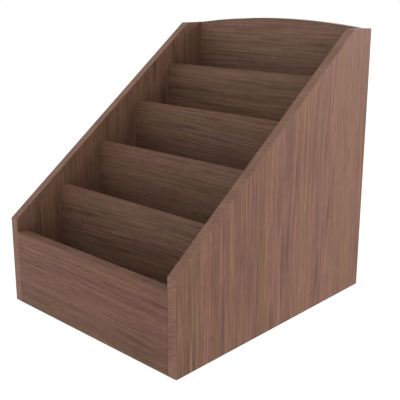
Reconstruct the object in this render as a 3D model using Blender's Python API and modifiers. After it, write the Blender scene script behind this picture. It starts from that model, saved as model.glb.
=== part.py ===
"""Five-pocket stepped magazine rack in walnut-faced board, with edging strips and hidden dowels.

Units are metres and +Z is up. The front faces -Y. The origin is the middle of the footprint, on the
surface that the rack stands on. Left and right are as seen by someone who faces the front.
"""

import math

import bmesh
import bpy
from mathutils import Matrix, Vector

INCH = 0.0254

# Overall layout
BOARD = 0.75 * INCH              # thickness of every board
WIDTH = 18.5 * INCH              # over the two sides
POCKETS = 5
POCKET_DEPTH = 3.5 * INCH        # clear space from front to back in each pocket
POCKET_PITCH = POCKET_DEPTH + BOARD
DEPTH = POCKETS * POCKET_PITCH + BOARD
STEP = 3.0 * INCH                # each pocket stands this much higher than the one in front

# Side boards
SIDE_FRONT_HEIGHT = 7.0 * INCH
SHOULDER = 2.5 * INCH            # level stretch on top, at the back
SLOPE = 3.0 / 4.0                # rise over run of the long sloping edge
SIDE_HEIGHT = SIDE_FRONT_HEIGHT + SLOPE * (DEPTH - SHOULDER)

# Boards between the sides
FRONT_HEIGHT = 6.0 * INCH
DIVIDER_HEIGHT = FRONT_HEIGHT + STEP
ARCH_RISE = 9.0 / 16.0 * INCH    # crown of the back board above its ends
ARCH_FACETS = 24

# Gaps and edging strips
GAP = 0.0003                     # clearance between touching pieces
STRIP = 0.0010                   # thickness of the edging strips
STRIP_ROUND = 0.0004             # easing along their outer corners
TRIM = STRIP + GAP               # how far a board stops short of an edged face

# Dowels
DOWEL_RADIUS = 0.0040
DOWEL_IN_SIDE = 0.0120
DOWEL_IN_BOARD = 0.0180
DOWEL_CHAMFER = 0.0010
DOWEL_FACETS = 12
BORE_RADIUS = (DOWEL_RADIUS + GAP) / math.cos(math.pi / DOWEL_FACETS)
DOWEL_MARGIN = 1.5 * INCH        # from a divider's or the front board's edge to its dowels
BACK_DOWEL_LOW = 2.0 * INCH
BACK_DOWEL_PITCH = 6.0 * INCH
BACK_DOWELS = 4

# Derived widths
INNER_HALF = WIDTH / 2 - BOARD   # half the clear width between the sides
CROSS_LENGTH = 2 * (INNER_HALF - GAP)

# Finishes: colour and roughness
WALNUT = ((0.170, 0.092, 0.062), 0.45)
WALNUT_EDGING = ((0.185, 0.105, 0.074), 0.42)
BEECH = ((0.560, 0.400, 0.250), 0.70)

# Mesh clean-up
NEAR = GAP / 10                  # points nearer than this count as the same
WELD = 0.00001                   # points nearer than this are joined
FLAT_ANGLE = math.radians(0.05)  # faces that meet flatter than this are joined
SHARP_ANGLE = math.radians(40)   # edges sharper than this stay sharp on round pieces

HANDS = {"left": -1, "right": 1}
FACING_SIDE = (math.pi / 2, 0.0, math.pi / 2)    # local X runs back, local Y runs up
FACING_FRONT = (math.pi / 2, 0.0, 0.0)           # local X runs right, local Y runs up


def clear_scene():
    """Empty the scene that the script is run in."""
    for obj in list(bpy.data.objects):
        bpy.data.objects.remove(obj, do_unlink=True)


def new_collection(name):
    """Make a collection and link it to the scene."""
    collection = bpy.data.collections.new(name)
    bpy.context.scene.collection.children.link(collection)
    return collection


def finish(name, wood):
    """Make a plain material for a wood, given as its colour and roughness."""
    colour, roughness = wood
    material = bpy.data.materials.new(name)
    material.use_nodes = True
    shader = material.node_tree.nodes["Principled BSDF"]
    shader.inputs["Base Color"].default_value = (*colour, 1.0)
    shader.inputs["Roughness"].default_value = roughness
    shader.inputs["Metallic"].default_value = 0.0
    return material


def place(name, mesh, collection, location, rotation=(0.0, 0.0, 0.0)):
    """Add an object for a mesh at its place in the rack."""
    obj = bpy.data.objects.new(name, mesh)
    collection.objects.link(obj)
    obj.location = location
    obj.rotation_euler = rotation
    return obj


def rounded_edges(bm, is_outer_corner):
    """Mark the edges that the Bevel modifier eases."""
    weight = bm.edges.layers.float.new("bevel_weight_edge")
    for edge in bm.edges:
        if is_outer_corner(edge.verts[0].co, edge.verts[1].co):
            edge[weight] = 1.0


def ease(obj):
    """Ease the marked corners of an edging strip."""
    bevel = obj.modifiers.new("eased_corners", "BEVEL")
    bevel.limit_method = "WEIGHT"
    bevel.width = STRIP_ROUND
    bevel.segments = 2


def box_mesh(name, size, is_outer_corner=None):
    """A box centred on its own origin."""
    bm = bmesh.new()
    bmesh.ops.create_cube(bm, size=1.0)
    bmesh.ops.scale(bm, vec=size, verts=bm.verts)
    if is_outer_corner:
        rounded_edges(bm, is_outer_corner)
    mesh = bpy.data.meshes.new(name)
    bm.to_mesh(mesh)
    bm.free()
    return mesh


def plate_mesh(name, outline, thickness, is_outer_corner=None):
    """A flat closed outline in local XY, given its thickness along local Z."""
    curve = bpy.data.curves.new(name, "CURVE")
    curve.dimensions = "2D"
    curve.fill_mode = "BOTH"
    curve.extrude = thickness / 2
    spline = curve.splines.new("POLY")
    spline.points.add(len(outline) - 1)
    for point, (along, up) in zip(spline.points, outline):
        point.co = (along, up, 0.0, 1.0)
    spline.use_cyclic_u = True

    holder = bpy.data.objects.new(name, curve)
    bpy.context.scene.collection.objects.link(holder)
    depsgraph = bpy.context.evaluated_depsgraph_get()
    mesh = bpy.data.meshes.new_from_object(holder.evaluated_get(depsgraph))
    bpy.data.objects.remove(holder)
    bpy.data.curves.remove(curve)

    bm = bmesh.new()
    bm.from_mesh(mesh)
    bmesh.ops.remove_doubles(bm, verts=bm.verts, dist=WELD)
    bmesh.ops.dissolve_limit(bm, angle_limit=FLAT_ANGLE, verts=bm.verts, edges=bm.edges)
    bmesh.ops.recalc_face_normals(bm, faces=bm.faces)
    if is_outer_corner:
        rounded_edges(bm, is_outer_corner)
    bm.to_mesh(mesh)
    bm.free()
    return mesh


def inset(outline, distances):
    """Move each edge of a counterclockwise outline inwards by its own distance."""
    lines = []
    for index, start in enumerate(outline):
        end = outline[(index + 1) % len(outline)]
        along = (Vector(end) - Vector(start)).normalized()
        inwards = Vector((-along.y, along.x))
        lines.append((Vector(start) + distances[index] * inwards, along))
    corners = []
    for index, (point, along) in enumerate(lines):
        other_point, other_along = lines[index - 1]
        travel = (point - other_point).cross(along) / other_along.cross(along)
        corners.append(tuple(other_point + travel * other_along))
    return corners


def side_outline():
    """Outer shape of a side: depth along X, height along Y, counterclockwise from the front foot."""
    front = -DEPTH / 2
    back = DEPTH / 2
    return [(front, 0.0), (back, 0.0), (back, SIDE_HEIGHT), (back - SHOULDER, SIDE_HEIGHT),
            (front, SIDE_FRONT_HEIGHT)]


def side_inset(distance):
    """The side's outline, moved in from every edge but the bottom one."""
    return inset(side_outline(), [0.0] + [distance] * 4)


def arch(drop):
    """Points of the back board's arched top from right to left, lowered square to the curve."""
    radius = INNER_HALF ** 2 / (2 * ARCH_RISE) + ARCH_RISE / 2
    centre = SIDE_HEIGHT + ARCH_RISE - radius
    half_angle = math.asin((INNER_HALF - GAP) / radius)
    points = []
    for step in range(ARCH_FACETS + 1):
        angle = half_angle * (1 - 2 * step / ARCH_FACETS)
        across = radius * math.sin(angle)
        up = centre + math.sqrt((radius - drop) ** 2 - across ** 2)
        points.append((across, up))
    return points


def divider_front(index):
    """Y of the front face of cross wall number index: 0 is the front board, POCKETS the back."""
    return -DEPTH / 2 + index * POCKET_PITCH


def dowel_places():
    """Name, Y and Z of every dowel on one side."""
    places = []
    middle = BOARD / 2
    for number, height in enumerate((DOWEL_MARGIN, FRONT_HEIGHT - DOWEL_MARGIN), 1):
        places.append((f"front_panel_{number}", divider_front(0) + middle, height))
    for index in range(1, POCKETS):
        base = (index - 1) * STEP
        for number, height in enumerate((DOWEL_MARGIN, DIVIDER_HEIGHT - DOWEL_MARGIN), 1):
            places.append((f"divider_{index}_{number}", divider_front(index) + middle, base + height))
    for index in range(1, POCKETS + 1):
        centre = divider_front(index) - POCKET_DEPTH / 2
        places.append((f"floor_{index}", centre, (index - 1) * STEP + middle))
    for number in range(BACK_DOWELS):
        height = BACK_DOWEL_LOW + number * BACK_DOWEL_PITCH
        places.append((f"back_panel_{number + 1}", divider_front(POCKETS) + middle, height))
    return places


def dowel_centre(hand):
    """X of a dowel's middle, which lies further into the cross board than into the side."""
    return hand * (INNER_HALF + (DOWEL_IN_SIDE - DOWEL_IN_BOARD) / 2)


def bore_cutter(side, collection):
    """All the dowel bores of one side, as one set of cylinders."""
    turn = Matrix.Rotation(math.pi / 2, 4, "Y")
    length = DOWEL_IN_SIDE + DOWEL_IN_BOARD + 2 * GAP
    bm = bmesh.new()
    for _, back, up in dowel_places():
        shift = Matrix.Translation((dowel_centre(HANDS[side]), back, up))
        bmesh.ops.create_cone(bm, cap_ends=True, segments=DOWEL_FACETS, radius1=BORE_RADIUS,
                              radius2=BORE_RADIUS, depth=length, matrix=shift @ turn)
    mesh = bpy.data.meshes.new(f"bores_{side}")
    bm.to_mesh(mesh)
    bm.free()
    cutter = place(f"bores_{side}", mesh, collection, (0.0, 0.0, 0.0))
    cutter.hide_render = True
    cutter.display_type = "WIRE"
    return cutter


def drill(obj, cutters):
    """Drill a board's blind dowel bores."""
    for cutter in cutters:
        boolean = obj.modifiers.new(cutter.name, "BOOLEAN")
        boolean.operation = "DIFFERENCE"
        boolean.solver = "EXACT"
        boolean.object = cutter


def dowel_mesh():
    """A short round peg with chamfered ends, lying along X."""
    turn = Matrix.Rotation(math.pi / 2, 4, "Y")
    length = DOWEL_IN_SIDE + DOWEL_IN_BOARD
    bm = bmesh.new()
    bmesh.ops.create_cone(bm, cap_ends=True, segments=DOWEL_FACETS, radius1=DOWEL_RADIUS,
                          radius2=DOWEL_RADIUS, depth=length, matrix=turn)
    rims = [edge for edge in bm.edges if abs(edge.verts[0].co.x - edge.verts[1].co.x) < length / 2]
    bmesh.ops.bevel(bm, geom=rims, offset=DOWEL_CHAMFER, segments=1, affect="EDGES")
    mesh = bpy.data.meshes.new("dowel")
    bm.to_mesh(mesh)
    bm.free()
    mesh.shade_smooth()
    mesh.set_sharp_from_angle(angle=SHARP_ANGLE)
    return mesh


def add_side(side, collection, cutter):
    """One side board and the strip that edges its front, slope, shoulder and back."""
    across = HANDS[side] * (INNER_HALF + BOARD / 2)
    mesh = plate_mesh(f"side_{side}", side_inset(TRIM), BOARD)
    mesh.materials.append(finish(f"side_{side}_walnut", WALNUT))
    board = place(f"side_{side}", mesh, collection, (across, 0.0, 0.0), FACING_SIDE)
    drill(board, [cutter])

    outer = side_outline()
    inner = side_inset(STRIP)
    ring = outer[1:] + outer[:1] + inner[:1] + inner[:0:-1]

    def on_outside(point):
        return any((point.xy - Vector(corner)).length < NEAR for corner in outer)

    def is_outer_corner(start, end):
        return abs(start.z - end.z) < GAP and on_outside(start) and on_outside(end)

    strip = plate_mesh(f"edging_side_{side}", ring, BOARD, is_outer_corner)
    strip.materials.append(finish(f"edging_side_{side}_walnut", WALNUT_EDGING))
    ease(place(f"edging_side_{side}", strip, collection, (across, 0.0, 0.0), FACING_SIDE))


def add_cross_wall(name, front, bottom, top, collection, cutters):
    """An upright board between the sides, with an edging strip along its top."""
    height = top - TRIM - bottom
    middle = front + BOARD / 2
    mesh = box_mesh(name, (CROSS_LENGTH, BOARD, height))
    mesh.materials.append(finish(f"{name}_walnut", WALNUT))
    board = place(name, mesh, collection, (0.0, middle, bottom + height / 2))
    drill(board, cutters)

    def is_outer_corner(start, end):
        return min(start.z, end.z) > 0.0 and abs(start.y - end.y) < GAP

    strip = box_mesh(f"edging_{name}", (CROSS_LENGTH, BOARD, STRIP), is_outer_corner)
    strip.materials.append(finish(f"edging_{name}_walnut", WALNUT_EDGING))
    ease(place(f"edging_{name}", strip, collection, (0.0, middle, top - STRIP / 2)))


def add_back(collection, cutters):
    """The tall back board with its arched top, and the strip bent over the arch."""
    middle = divider_front(POCKETS) + BOARD / 2
    half = CROSS_LENGTH / 2
    mesh = plate_mesh("back_panel", [(-half, 0.0), (half, 0.0)] + arch(TRIM), BOARD)
    mesh.materials.append(finish("back_panel_walnut", WALNUT))
    board = place("back_panel", mesh, collection, (0.0, middle, 0.0), FACING_FRONT)
    drill(board, cutters)

    crest = arch(0.0)

    def is_outer_corner(start, end):
        level = abs(start.z - end.z) < GAP
        return level and all(min((point.xy - Vector(c)).length for c in crest) < NEAR
                             for point in (start, end))

    strip = plate_mesh("edging_back_panel", crest + arch(STRIP)[::-1], BOARD, is_outer_corner)
    strip.materials.append(finish("edging_back_panel_walnut", WALNUT_EDGING))
    ease(place("edging_back_panel", strip, collection, (0.0, middle, 0.0), FACING_FRONT))


def add_floor(index, collection, cutters):
    """The board that magazines stand on in pocket number index, counted from the front."""
    name = f"floor_{index}"
    mesh = box_mesh(name, (CROSS_LENGTH, POCKET_DEPTH - 2 * GAP, BOARD))
    mesh.materials.append(finish(f"{name}_walnut", WALNUT))
    centre = (0.0, divider_front(index) - POCKET_DEPTH / 2, (index - 1) * STEP + BOARD / 2)
    drill(place(name, mesh, collection, centre), cutters)


def add_dowels(collection):
    """Every dowel as an object of its own."""
    mesh = dowel_mesh()
    mesh.materials.append(finish("dowel_beech", BEECH))
    for side, hand in HANDS.items():
        for name, back, up in dowel_places():
            place(f"dowel_{side}_{name}", mesh, collection, (dowel_centre(hand), back, up))


def build_rack():
    """Make the whole rack."""
    clear_scene()
    rack = new_collection("magazine_rack")
    tools = new_collection("cutters")
    bores = {side: bore_cutter(side, tools) for side in HANDS}
    both = list(bores.values())
    for side in HANDS:
        add_side(side, rack, bores[side])
    add_cross_wall("front_panel", divider_front(0), 0.0, FRONT_HEIGHT, rack, both)
    for index in range(1, POCKETS):
        base = (index - 1) * STEP
        add_cross_wall(f"divider_{index}", divider_front(index), base, base + DIVIDER_HEIGHT, rack, both)
    add_back(rack, both)
    for index in range(1, POCKETS + 1):
        add_floor(index, rack, both)
    add_dowels(rack)


build_rack()
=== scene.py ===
"""Finishes and studio for the stepped walnut magazine rack.

Laid out as an add-on and run as a script. Units are metres, +Z is up and the front faces -Y.
Left and right are as seen by someone who faces the front.
"""

import math
from collections import namedtuple

import bpy
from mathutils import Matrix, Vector


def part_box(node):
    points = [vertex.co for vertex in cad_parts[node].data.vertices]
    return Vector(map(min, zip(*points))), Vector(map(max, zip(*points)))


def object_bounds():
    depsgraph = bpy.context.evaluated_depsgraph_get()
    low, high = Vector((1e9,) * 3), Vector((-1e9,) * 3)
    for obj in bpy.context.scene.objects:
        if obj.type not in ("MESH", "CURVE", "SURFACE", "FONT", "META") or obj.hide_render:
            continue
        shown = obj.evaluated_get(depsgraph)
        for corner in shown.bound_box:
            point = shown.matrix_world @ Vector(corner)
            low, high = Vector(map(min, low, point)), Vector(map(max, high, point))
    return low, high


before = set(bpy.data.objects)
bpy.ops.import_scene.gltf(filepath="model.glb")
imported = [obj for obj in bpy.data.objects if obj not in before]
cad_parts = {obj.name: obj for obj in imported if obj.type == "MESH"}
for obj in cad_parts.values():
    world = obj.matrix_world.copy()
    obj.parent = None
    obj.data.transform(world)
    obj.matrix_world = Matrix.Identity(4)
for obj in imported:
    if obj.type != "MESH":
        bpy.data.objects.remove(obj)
CAD_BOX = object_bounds()

bl_info = {
    "name": "Walnut Magazine Rack",
    "version": (1, 0, 0),
    "blender": (4, 5, 0),
    "location": "3D View > Sidebar > Magazine Rack",
    "description": "Finishes every board, edging strip and dowel of the rack and lights it in a studio",
    "category": "Material",
}

DIVIDERS = tuple(sorted(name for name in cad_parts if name.startswith("divider_")))
FLOORS = tuple(sorted(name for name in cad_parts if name.startswith("floor_")))
EDGINGS = tuple(sorted(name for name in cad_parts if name.startswith("edging_")))
DOWELS = tuple(sorted(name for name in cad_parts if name.startswith("dowel_")))
CROSS_WALLS = ("front_panel", *DIVIDERS, "back_panel")
BOARDS = ("side_left", "side_right", *CROSS_WALLS, *FLOORS)

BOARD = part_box("side_left")[1].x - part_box("side_left")[0].x  # thickness of every board

# Where each board lies in the endless walnut pattern, far enough apart that no two boards look alike.
FIRST_PLACE = 35
PLACE_STEP = 20
PLACES = {name: FIRST_PLACE + PLACE_STEP * index for index, name in enumerate(BOARDS)}
EDGING_STEP = 7.0  # the same step for the edging strips, which have a pattern of their own

# How a board was cut from its tree: the axes along the grain, across it and through the board, where the
# heart line lies on the axis across the grain and how far it wanders, and how much fainter than full the
# fine lines are.
Cut = namedtuple("Cut", "along across through heart wander calm")

DEPTH_CELLS = 150.0  # noise cells to the metre through a board
TREMBLE = 0.0012  # how far the rings waver, in metres
SLOPE_LEVEL = 0.8  # the sides slope 3 in 4, so a metre of slope goes this far back
SLOPE_RISE = 0.6  # and this far up
SHEEN = 0.15  # specular level of the boards' facing and of the strips
SHEEN_CHANGE = 0.12  # how much the grain changes their roughness
RAW_ROUGHNESS = 0.35  # how much rougher the raw edges are
FACING_EDGE = (0.05, 0.03, 0.022)  # colour of the facing where it is cut through

KEY_DIRECTION = Vector((0.82, 0.92, 0.45))  # from the rack towards the key light
SENSOR_WIDTH = 36.0  # of the camera, in millimetres
WHITE = (1.0, 1.0, 1.0, 1.0)
FLOOR_RADIUS = 12.0
FLOOR_SIDES = 96
FLOOR_DROP = 0.0002  # the studio floor lies this far under the rack, so that they don't share a plane


class Wire:
    """A shader socket. Python arithmetic on it adds Math nodes, or Mix nodes where a colour takes part."""

    def __init__(self, graph, socket):
        self.graph = graph
        self.socket = socket

    def combine(self, operation, first, second):
        """Join two operands with one node."""
        if "RGBA" in [part.socket.type for part in (first, second) if isinstance(part, Wire)]:
            blend = {"blend_type": operation, "data_type": "RGBA"}
            return self.graph.node("ShaderNodeMix", blend, {0: 1.0, 6: colour(first), 7: colour(second)}, 2)
        return self.graph.node("ShaderNodeMath", {"operation": operation}, {0: first, 1: second})

    def __add__(self, other):
        return self.combine("ADD", self, other)

    def __radd__(self, other):
        return self.combine("ADD", other, self)

    def __sub__(self, other):
        return self.combine("SUBTRACT", self, other)

    def __rsub__(self, other):
        return self.combine("SUBTRACT", other, self)

    def __mul__(self, other):
        return self.combine("MULTIPLY", self, other)

    def __rmul__(self, other):
        return self.combine("MULTIPLY", other, self)

    def __abs__(self):
        return self.graph.node("ShaderNodeMath", {"operation": "ABSOLUTE"}, {0: self})

    def fraction(self):
        """The part after the decimal point."""
        return self.graph.node("ShaderNodeMath", {"operation": "FRACT"}, {0: self})

    def rise(self, start, end):
        """0 below start, 1 above end, and a smooth rise between them."""
        return self.graph.node("ShaderNodeMapRange", {"interpolation_type": "SMOOTHSTEP"},
                               {"Value": self, "From Min": start, "From Max": end})


def colour(value):
    """What feeds a colour socket: a wire as it is, or three numbers with full alpha."""
    return value if isinstance(value, Wire) else (*value, 1.0)


class Graph:
    """The nodes of one material."""

    def __init__(self, name):
        self.material = bpy.data.materials.new(name)
        self.material.use_nodes = True
        self.tree = self.material.node_tree
        self.shader = self.tree.nodes["Principled BSDF"]

    def node(self, kind, settings=None, inputs=None, output=0):
        """Add a node, with its settings first and then the values or links of its sockets."""
        made = self.tree.nodes.new(kind)
        for name, value in (settings or {}).items():
            setattr(made, name, value)
        self.feed(made, inputs or {})
        return Wire(self, made.outputs[output])

    def feed(self, target, inputs):
        """Give sockets their values or links."""
        for key, value in inputs.items():
            if isinstance(value, Wire):
                self.tree.links.new(value.socket, target.inputs[key])
            else:
                target.inputs[key].default_value = value

    def axes(self):
        """The three coordinates of a point on the rack."""
        place = self.node("ShaderNodeTexCoord", output="Object")
        return [self.node("ShaderNodeSeparateXYZ", None, {0: place}, axis) for axis in range(3)]

    def facing(self, axis):
        """How squarely a face looks along one axis."""
        normal = self.node("ShaderNodeNewGeometry", output="Normal")
        return abs(self.node("ShaderNodeSeparateXYZ", None, {0: normal}, axis))

    def noise(self, x, y, z, detail=2.0, rough=0.5):
        """Smooth noise around one half, over three coordinates that are counted in noise cells."""
        point = self.node("ShaderNodeCombineXYZ", None, {0: x, 1: y, 2: z})
        return self.node("ShaderNodeTexNoise", None,
                         {"Vector": point, "Scale": 1.0, "Detail": detail, "Roughness": rough}, "Fac")

    def reach(self, x, y):
        """Distance from the origin."""
        point = self.node("ShaderNodeCombineXYZ", None, {0: x, 1: y})
        return self.node("ShaderNodeVectorMath", {"operation": "LENGTH"}, {0: point}, "Value")

    def pins(self, x, y):
        """Distance to the nearest of some scattered points, one to a cell."""
        point = self.node("ShaderNodeCombineXYZ", None, {0: x, 1: y})
        return self.node("ShaderNodeTexVoronoi", {"voronoi_dimensions": "2D"},
                         {"Vector": point, "Scale": 1.0}, "Distance")

    def cells(self, x, y, z, output):
        """Cell noise over three coordinates that are counted in cells."""
        point = self.node("ShaderNodeCombineXYZ", None, {0: x, 1: y, 2: z})
        return self.node("ShaderNodeTexVoronoi", None, {"Vector": point, "Scale": 1.0}, output)

    def mix(self, factor, first, second):
        """Go from one colour to another."""
        inputs = {0: factor, 6: colour(first), 7: colour(second)}
        return self.node("ShaderNodeMix", {"data_type": "RGBA"}, inputs, 2)

    def bump(self, height, distance, strength):
        """Relief of a given depth in metres."""
        return self.node("ShaderNodeBump", None,
                         {"Height": height, "Distance": distance, "Strength": strength}, "Normal")

    def finish(self, inputs):
        """Feed the shader and hand the material over."""
        self.feed(self.shader, inputs)
        return self.material


def dress(node, material):
    """Give a CAD node its material."""
    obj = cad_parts[node]
    obj.data.materials.clear()
    obj.data.materials.append(material)


def colour_property(name, description, default):
    """A colour that shows as a swatch in the sidebar."""
    return bpy.props.FloatVectorProperty(name=name, description=description, subtype="COLOR", size=3,
                                         min=0.0, soft_max=1.0, default=default)


def length_property(name, description, default):
    """A length in metres."""
    return bpy.props.FloatProperty(name=name, description=description, unit="LENGTH", subtype="DISTANCE",
                                   min=0.0, precision=5, default=default)


def share_property(name, description, default):
    """A number from 0 to 1."""
    return bpy.props.FloatProperty(name=name, description=description, subtype="FACTOR", min=0.0, max=1.0,
                                   default=default)


def strength_property(name, description, default):
    """How strongly something shows, with 0 for not at all."""
    return bpy.props.FloatProperty(name=name, description=description, subtype="FACTOR", min=0.0,
                                   soft_max=2.0, default=default)


class RackWalnut(bpy.types.PropertyGroup):
    """Walnut decor of the boards"""

    light: colour_property("Light grain", "Pale wood between the growth lines", (0.237, 0.124, 0.081))
    dark: colour_property("Dark grain", "Wood along the growth lines", (0.054, 0.026, 0.016))
    mauve: colour_property("Mauve cast", "Tint of the cooler bands", (1.00, 0.94, 1.01))
    olive: colour_property("Olive cast", "Tint of the yellower bands", (0.98, 1.00, 0.89))
    band: length_property("Band width", "Width of the broad colour bands", 0.045)
    streak: length_property("Streak width", "Width of the streaks inside a band", 0.011)
    line: length_property("Line width", "Width of the fine lines", 0.0034)
    hair: length_property("Hairline width", "Width of the finest lines", 0.0012)
    pore: length_property("Pore width", "Width of an open pore", 0.0005)
    heart_depth: length_property("Heart depth", "How far the heart line swings below the face", 0.07)
    heart_side: length_property("Heart of the sides", "How far behind the rack's middle it lies", 0.34)
    heart_wall: length_property("Heart of the walls", "How far below a wall's lower edge it lies", 0.02)
    wander_side: length_property("Wander of the sides", "How far their heart line wanders", 0.014)
    wander_wall: length_property("Wander of the walls", "How far the other heart lines wander", 0.030)
    rings: bpy.props.FloatProperty(name="Rings", description="Growth rings in a metre", default=95.0)
    relief: length_property("Relief", "Depth of the embossed grain", 0.00010)
    calm_inner: share_property("Inner calm", "How much fainter the fine lines of the inner boards are", 0.28)
    calm_outer: share_property("Outer calm", "The same for the front board and the right side", 0.20)
    roughness: share_property("Roughness", "Satin sheen of the surface", 0.46)


class RackGrain(bpy.types.PropertyGroup):
    """How strongly each part of the walnut decor shows"""

    tone: strength_property("Tone", "Plain wood, from dark grain at 0 to light grain at 1", 0.70)
    band: strength_property("Bands", "Broad colour bands", 0.40)
    flame: strength_property("Flames", "Dark flames", 0.26)
    mottle: strength_property("Mottling", "Small cloudy patches", 0.16)
    streak: strength_property("Streaks", "Streaks inside the bands", 0.38)
    line: strength_property("Lines", "Fine lines", 1.35)
    growth: strength_property("Growth lines", "Dark late wood of each ring", 0.11)
    vein: strength_property("Veins", "Long dark veins", 0.09)
    hair: strength_property("Hairlines", "Finest lines", 0.60)
    pin: strength_property("Pin knots", "Rare dark pin knots", 0.45)
    pore: strength_property("Pores", "Open pores", 0.35)


class RackTintsWithPaintedLight(bpy.types.PropertyGroup):
    """Slight differences of colour between boards, partly painted light: cooler, greyer dividers, floors and
    back as painted sheen, a cooler left side and darker wall strips as painted shade, and a redder right
    side and a redder, darker front.
    """

    # Painted shade: the left side is made cooler so that its inner face, which shows only in the shaded
    # pockets, takes on the less red colour of shade there.
    left: colour_property("Left side", "Tint of the left side", (0.96, 1.00, 1.02))
    right: colour_property("Right side", "Tint of the right side", (0.95, 0.89, 0.88))
    front: colour_property("Front", "Tint of the front board", (0.90, 0.81, 0.82))
    # Painted sheen: the dividers (with the floors) and, more strongly, the back are made cooler and greyer
    # to stand in for the pale reflection of the white surround on them.
    inner: colour_property("Dividers", "Tint of the dividers and the floors", (0.92, 0.99, 1.02))
    back: colour_property("Back", "Tint of the back board", (0.97, 1.07, 1.13))
    side_strips: colour_property("Side strips", "Tint of the edging on the sides", (1.00, 1.00, 1.00))
    # Painted shade: the strips on the top edges of the front, dividers and back are darkened to stand in for
    # the dimmer light that falls on top faces.
    wall_strips_painted_shade: colour_property("Wall strips", "Tint of the edging on the front, dividers and back",
                                 (0.76, 0.75, 0.72))


class RackEdging(bpy.types.PropertyGroup):
    """Edging strips"""

    light: colour_property("Light grain", "Pale lines in the strip", (0.254, 0.132, 0.090))
    dark: colour_property("Dark grain", "Dark lines and marks in the strip", (0.075, 0.036, 0.025))
    mark: length_property("Mark width", "Width of the short lines across the strip", 0.0026)
    lean: bpy.props.FloatProperty(name="Lean", description="Slope of the short lines", default=-0.3)
    rim: length_property("Rim", "Width of the rubbed rims of the strip", 0.0012)
    tone: strength_property("Tone", "Plain strip, from dark grain at 0 to light grain at 1", 0.64)
    marks: strength_property("Marks", "Strength of the short lines", 1.35)
    drift: strength_property("Drift", "Strength of the slow changes along the strip", 0.80)
    flecks: strength_property("Flecks", "Strength of the dark flecks", 0.16)
    rub: strength_property("Rub", "How much paler the rims are", 0.20)
    relief: length_property("Relief", "Depth of the embossed lines", 0.00008)
    roughness: share_property("Roughness", "Satin sheen of the strip", 0.42)


class RackCore(bpy.types.PropertyGroup):
    """Pressed core that shows on the boards' raw edges"""

    light: colour_property("Light chips", "Palest chips", (0.480, 0.350, 0.220))
    dark: colour_property("Dark chips", "Darkest chips", (0.200, 0.125, 0.070))
    chip: length_property("Chip size", "Size of a chip in the middle of a board", 0.0030)
    skin: length_property("Skin", "Thickness of the facing on both faces", 0.0005)


class RackBeech(bpy.types.PropertyGroup):
    """Beech of the dowels"""

    light: colour_property("Light grain", "Pale wood", (0.600, 0.430, 0.270))
    dark: colour_property("Dark grain", "Darker flecks", (0.420, 0.270, 0.150))
    relief: length_property("Relief", "Depth of the grain", 0.0001)
    roughness: share_property("Roughness", "Dull surface of turned wood", 0.62)


class RackStudio(bpy.types.PropertyGroup):
    """Floor, lights and camera"""

    floor: colour_property("Floor", "Colour of the floor", (0.12, 0.12, 0.12))
    speck: colour_property("Floor specks", "Colour of its paler specks", (0.15, 0.15, 0.15))
    roughness: share_property("Floor roughness", "Dull surface of the floor", 0.80)
    glow: bpy.props.FloatProperty(name="Floor glow", description="Light that the floor gives off",
                                  default=0.92)
    surround: bpy.props.FloatProperty(name="Surround", description="Strength of the white surround",
                                      default=1.0)
    key: bpy.props.FloatProperty(name="Key", description="Power of the light behind the rack, to the right",
                                 unit="POWER", default=30.0)
    key_size: length_property("Key size", "Edge of the square key light", 1.4)
    key_distance: length_property("Key distance", "From the middle of the rack to the key light", 2.25)
    lens: bpy.props.FloatProperty(name="Lens", description="Focal length", unit="CAMERA", default=64.445)
    place: bpy.props.FloatVectorProperty(name="Camera place", description="Where the camera stands", size=3,
                                         subtype="TRANSLATION", unit="LENGTH",
                                         default=(0.98613, -1.02527, 0.62210))
    pitch: bpy.props.FloatProperty(name="Pitch", description="How far the camera looks down",
                                   unit="ROTATION", subtype="ANGLE", default=0.2532)
    turn: bpy.props.FloatProperty(name="Turn", description="How far the camera looks to the left",
                                  unit="ROTATION", subtype="ANGLE", default=0.7594)
    shift: bpy.props.FloatVectorProperty(name="Shift", description="Shift of the lens", size=2,
                                         default=(0.01184, -0.06))


class RackSettings(bpy.types.PropertyGroup):
    """Everything that a user would change"""

    walnut: bpy.props.PointerProperty(type=RackWalnut)
    grain: bpy.props.PointerProperty(type=RackGrain)
    tints_with_painted_light: bpy.props.PointerProperty(type=RackTintsWithPaintedLight)
    edging: bpy.props.PointerProperty(type=RackEdging)
    core: bpy.props.PointerProperty(type=RackCore)
    beech: bpy.props.PointerProperty(type=RackBeech)
    studio: bpy.props.PointerProperty(type=RackStudio)


def middle_of(node):
    """Middle of a CAD node's box."""
    low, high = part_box(node)
    return (Vector(low) + Vector(high)) / 2


def tinted(paint, tint_with_painted_light):
    """A colour with each of its parts multiplied by the matching part of a second colour."""
    return [part * share for part, share in zip(paint, tint_with_painted_light)]


def core_colour(graph, core, point, thickness):
    """Chips of the pressed core, with the facing's edge along both faces of the board."""
    x, y, z = [axis * (1.0 / core.chip) for axis in point]
    chips = graph.node("ShaderNodeSeparateColor", None, {0: graph.cells(x, y, z, "Color")}, 0)
    dust = graph.noise(x * 3, y * 3, z * 3)
    wood = graph.mix(chips * 0.7 + dust * 0.3, core.dark, core.light)
    skin = abs(thickness).rise(BOARD / 2 - core.skin, BOARD / 2 - core.skin * 0.8)
    return graph.mix(skin, wood, FACING_EDGE)


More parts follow.
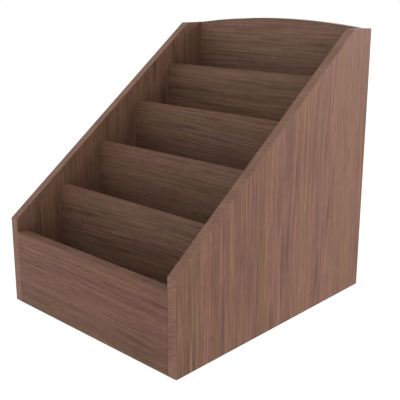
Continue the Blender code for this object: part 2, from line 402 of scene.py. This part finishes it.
def walnut(node, settings, cut, tint_with_painted_light):
    """Walnut decor on a board's two faces; its core shows on its other faces.

    Growth rings run round a heart line that wanders, and each field of noise follows them. The factors of
    length, width and ring are its cells to the metre, and what is added to depth keeps fields apart.
    """
    look = settings.walnut
    # The tint multiplies both grain colours; on the left side, dividers, floors and back it holds painted
    # sheen or painted shade.
    grain = settings.grain
    light = tinted(look.light, tint_with_painted_light)
    dark = tinted(look.dark, tint_with_painted_light)
    seed = PLACES[node]
    graph = Graph(f"{node}_walnut")
    point = graph.axes()
    length = point[cut.along]
    width = point[cut.across]
    thickness = point[cut.through] - middle_of(node)[cut.through]
    depth = thickness * DEPTH_CELLS + seed

    sway = graph.noise(length * 1.7, width * 6, depth, 1.0) - 0.5
    tremble = graph.noise(length * 13, width * 60, depth) - 0.5
    below = graph.noise(length * 2.6, 0.0, depth + 7, 1.0) * look.heart_depth
    ring = graph.reach(width - cut.heart + sway * cut.wander + tremble * TREMBLE, below)

    band = graph.noise(length * 0.8, ring * (1 / look.band), depth, 1.0)
    cast = graph.noise(length * 1.4, ring * (1.6 / look.band), depth + 31, 2.0)
    streak = graph.noise(length * 3.2, ring * (1 / look.streak), depth, 2.0, 0.55)
    line = graph.noise(length * 8, ring * (1 / look.line), depth, 1.0)
    fold = graph.noise(length * 2.4, ring * (1.6 / look.streak), depth + 57, 1.0)
    vein = 1 - abs(fold - 0.5).rise(0.0, 0.05)  # a vein runs where the fold passes one half
    hair = graph.noise(length * 16, ring * (1 / look.hair), depth)
    pore = graph.noise(length * 70, ring * (1 / look.pore), depth, 0.0).rise(0.60, 0.72)
    flame = graph.noise(length * 6, ring * 55, depth + 91, 1.0).rise(0.60, 0.80)
    late = (ring * look.rings + band * 2.4).fraction()
    growth = late.rise(0.25, 0.93) * (1 - late.rise(0.93, 1.0))  # slowly darker, then a sharp end
    busy = 0.25 + 1.5 * graph.noise(length * 1.2, ring * 16, depth + 83, 1.0)  # lines come and go
    pin = 1 - graph.pins(length * 5 + seed, width * 8 + seed).rise(0.003, 0.013)

    mottle = graph.noise(length * 55, width * 40, depth + 71, 2.0)
    broad = (band - 0.5) * grain.band - flame * grain.flame + (mottle - 0.5) * grain.mottle
    fine = ((streak - 0.5) * grain.streak + busy * ((line - 0.5) * grain.line - growth * grain.growth)
            - vein * grain.vein + (hair - 0.5) * grain.hair)
    tone = grain.tone + broad * (1 + cut.calm) + fine * (1 - cut.calm) - pin * grain.pin
    wood = graph.mix(tone, dark, light)
    wood = wood * graph.mix(cast.rise(0.36, 0.64), look.mauve, look.olive)
    wood = graph.mix(pore * grain.pore, wood, dark)

    raw = 1 - graph.facing(cut.through).rise(0.4, 0.6)
    surface = graph.mix(raw, wood, core_colour(graph, settings.core, point, thickness))
    height = hair * 0.4 + line * 0.3 - pore * 0.8 - raw * pore
    gloss = look.roughness + (line - 0.5) * SHEEN_CHANGE + pore * SHEEN_CHANGE + raw * RAW_ROUGHNESS
    return graph.finish({"Base Color": surface, "Roughness": gloss, "Specular IOR Level": SHEEN,
                         "Normal": graph.bump(height, look.relief, 0.6)})


def edging(node, settings, across, seed, tint_with_painted_light):
    """Edging strip: close, short lines across it that lean a little, slow changes along it, rubbed rims."""
    look = settings.edging
    # The tint multiplies both strip colours; on the strips of the front, dividers and back it darkens them
    # as painted shade.
    light = tinted(look.light, tint_with_painted_light)
    dark = tinted(look.dark, tint_with_painted_light)
    graph = Graph(f"{node}_walnut")
    point = graph.axes()
    span = point[across] - middle_of(node)[across]
    level = point[1 - across]
    run = level * SLOPE_LEVEL + point[2] * SLOPE_RISE
    place = (run + span * look.lean) * (1 / look.mark)
    mark = graph.noise(span * 30, place, seed, 2.0, 0.6)
    fleck = graph.noise(span * 110, place * 2.6, seed + 5, 1.0).rise(0.56, 0.72)
    drift = graph.noise(span * 9, run * 20, seed + 9, 2.0)
    rub = abs(span).rise(BOARD / 2 - look.rim, BOARD / 2) * graph.noise(span * 9, run * 40, seed + 13)
    tone = (look.tone + (mark - 0.5) * look.marks + (drift - 0.5) * look.drift - fleck * look.flecks
            + rub * look.rub)
    wood = graph.mix(tone, dark, light)
    gloss = look.roughness + (mark - 0.5) * SHEEN_CHANGE - drift * (SHEEN_CHANGE / 2)
    return graph.finish({"Base Color": wood, "Roughness": gloss, "Specular IOR Level": SHEEN,
                         "Normal": graph.bump(mark * 0.6 + fleck * 0.4, look.relief, 0.5)})


def beech(name, look):
    """Beech peg with its grain along X."""
    graph = Graph(name)
    x, y, z = graph.axes()
    grain = graph.noise(x * 25, y * 900, z * 900, 3.0)
    fleck = graph.noise(x * 300, y * 1500, z * 1500).rise(0.6, 0.7)
    wood = graph.mix(grain * 0.8 + fleck * 0.3, look.light, look.dark)
    return graph.finish({"Base Color": wood, "Roughness": look.roughness + fleck * 0.15,
                         "Normal": graph.bump(grain, look.relief, 0.5)})


class RackSides(bpy.types.Operator):
    """Give the two side boards their walnut decor, with the grain upright"""

    bl_idname = "rack.sides"
    bl_label = "Side Boards"

    def execute(self, context):
        rack = context.scene.rack
        look = rack.walnut
        # The left side's tint is painted shade colour.
        boards = {"side_left": (rack.tints_with_painted_light.left, look.calm_inner),
                  "side_right": (rack.tints_with_painted_light.right, look.calm_outer)}
        for node, (tint_with_painted_light, calm) in boards.items():
            cut = Cut(along=2, across=1, through=0, heart=look.heart_side, wander=look.wander_side,
                      calm=calm)
            dress(node, walnut(node, rack, cut, tint_with_painted_light))
        return {"FINISHED"}


class RackCrossWalls(bpy.types.Operator):
    """Give the front board, the dividers and the back board their decor, with the grain level"""

    bl_idname = "rack.cross_walls"
    bl_label = "Front, Dividers and Back"

    def execute(self, context):
        rack = context.scene.rack
        look = rack.walnut
        # The back's tint, like that of the dividers and floors, holds painted sheen.
        outer = {"front_panel": rack.tints_with_painted_light.front, "back_panel": rack.tints_with_painted_light.back}
        for node in CROSS_WALLS:
            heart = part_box(node)[0].z - look.heart_wall
            calm = look.calm_outer if node == "front_panel" else look.calm_inner
            cut = Cut(along=0, across=2, through=1, heart=heart, wander=look.wander_wall, calm=calm)
            dress(node, walnut(node, rack, cut, outer.get(node, rack.tints_with_painted_light.inner)))
        return {"FINISHED"}


class RackFloors(bpy.types.Operator):
    """Give the floor of each pocket its decor"""

    bl_idname = "rack.floors"
    bl_label = "Pocket Floors"

    def execute(self, context):
        rack = context.scene.rack
        look = rack.walnut
        for node in FLOORS:
            cut = Cut(along=0, across=1, through=2, heart=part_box(node)[0].y, wander=look.wander_wall,
                      calm=look.calm_inner)
            dress(node, walnut(node, rack, cut, rack.tints_with_painted_light.inner))
        return {"FINISHED"}


class RackEdgings(bpy.types.Operator):
    """Give every edging strip its finish"""

    bl_idname = "rack.edgings"
    bl_label = "Edging Strips"

    def execute(self, context):
        rack = context.scene.rack
        for index, node in enumerate(EDGINGS):
            on_side = node.startswith("edging_side")
            across = 0 if on_side else 1
            # The wall strips' tint is painted shade that darkens the top edges.
            tint_with_painted_light = rack.tints_with_painted_light.side_strips if on_side else rack.tints_with_painted_light.wall_strips_painted_shade
            dress(node, edging(node, rack, across, EDGING_STEP * index, tint_with_painted_light))
        return {"FINISHED"}


class RackDowels(bpy.types.Operator):
    """Give the dowels that hold the boards together their beech"""

    bl_idname = "rack.dowels"
    bl_label = "Dowels"

    def execute(self, context):
        material = beech("dowel_beech", context.scene.rack.beech)
        for node in DOWELS:
            dress(node, material)
        return {"FINISHED"}


class RackStage(bpy.types.Operator):
    """Set up the floor, the soft lights and the camera"""

    bl_idname = "rack.stage"
    bl_label = "Studio"

    def execute(self, context):
        studio = context.scene.rack.studio
        add_floor(studio)
        add_surround(context.scene, studio)
        add_key_light(context.scene, studio)
        add_camera(context.scene, studio)
        context.scene.view_settings.view_transform = "Standard"
        return {"FINISHED"}


def add_floor(studio):
    """A wide pale floor that glows faintly, so that it reads as plain white."""
    bpy.ops.mesh.primitive_circle_add(vertices=FLOOR_SIDES, radius=FLOOR_RADIUS, fill_type="NGON",
                                      location=(0.0, 0.0, -FLOOR_DROP))
    floor = bpy.context.object
    floor.name = "studio_floor"
    graph = Graph("studio_floor")
    x, y, z = graph.axes()
    paint = graph.mix(graph.noise(x * 3, y * 3, z), studio.floor, studio.speck)
    graph.finish({"Base Color": paint, "Roughness": studio.roughness, "Emission Color": WHITE,
                  "Emission Strength": studio.glow})
    floor.data.materials.append(graph.material)


def add_surround(scene, studio):
    """An even white surround."""
    world = bpy.data.worlds.new("studio_surround")
    world.use_nodes = True
    background = world.node_tree.nodes["Background"]
    background.inputs["Color"].default_value = WHITE
    background.inputs["Strength"].default_value = studio.surround
    scene.world = world


def add_key_light(scene, studio):
    """A square soft light to the right of the rack and behind it, aimed at the rack's middle."""
    middle = (Vector(CAD_BOX[0]) + Vector(CAD_BOX[1])) / 2
    light = bpy.data.lights.new("key_light", "AREA")
    light.energy = studio.key
    light.size = studio.key_size
    obj = bpy.data.objects.new("key_light", light)
    scene.collection.objects.link(obj)
    obj.location = middle + studio.key_distance * KEY_DIRECTION.normalized()
    obj.rotation_euler = (middle - obj.location).to_track_quat("-Z", "Y").to_euler()
    obj.visible_camera = False


def add_camera(scene, studio):
    """A camera that looks slightly down on the front right corner."""
    data = bpy.data.cameras.new("camera")
    data.lens = studio.lens
    data.sensor_width = SENSOR_WIDTH
    data.shift_x, data.shift_y = studio.shift
    camera = bpy.data.objects.new("camera", data)
    scene.collection.objects.link(camera)
    camera.location = studio.place
    camera.rotation_euler = (math.pi / 2 - studio.pitch, 0.0, studio.turn)
    scene.camera = camera


class RackPanel(bpy.types.Panel):
    """Buttons and settings of the magazine rack"""

    bl_label = "Magazine Rack"
    bl_idname = "VIEW3D_PT_magazine_rack"
    bl_space_type = "VIEW_3D"
    bl_region_type = "UI"
    bl_category = "Magazine Rack"

    def draw(self, context):
        for operator in OPERATORS:
            self.layout.operator(operator.bl_idname)
        rack = context.scene.rack
        for group_name in RackSettings.__annotations__:
            group = getattr(rack, group_name)
            box = self.layout.box()
            for name in type(group).__annotations__:
                box.prop(group, name)


OPERATORS = (RackSides, RackCrossWalls, RackFloors, RackEdgings, RackDowels, RackStage)
GROUPS = (RackWalnut, RackGrain, RackTintsWithPaintedLight, RackEdging, RackCore, RackBeech, RackStudio, RackSettings)


def register():
    """Make the settings, the operators and the panel known to Blender."""
    for item in (*GROUPS, *OPERATORS, RackPanel):
        bpy.utils.register_class(item)
    bpy.types.Scene.rack = bpy.props.PointerProperty(type=RackSettings)


def unregister():
    """Take everything out again."""
    del bpy.types.Scene.rack
    for item in reversed((*GROUPS, *OPERATORS, RackPanel)):
        bpy.utils.unregister_class(item)


def main():
    """Build every finish and the studio."""
    register()
    bpy.ops.rack.sides()
    bpy.ops.rack.cross_walls()
    bpy.ops.rack.floors()
    bpy.ops.rack.edgings()
    bpy.ops.rack.dowels()
    bpy.ops.rack.stage()


if __name__ == "__main__":
    main()
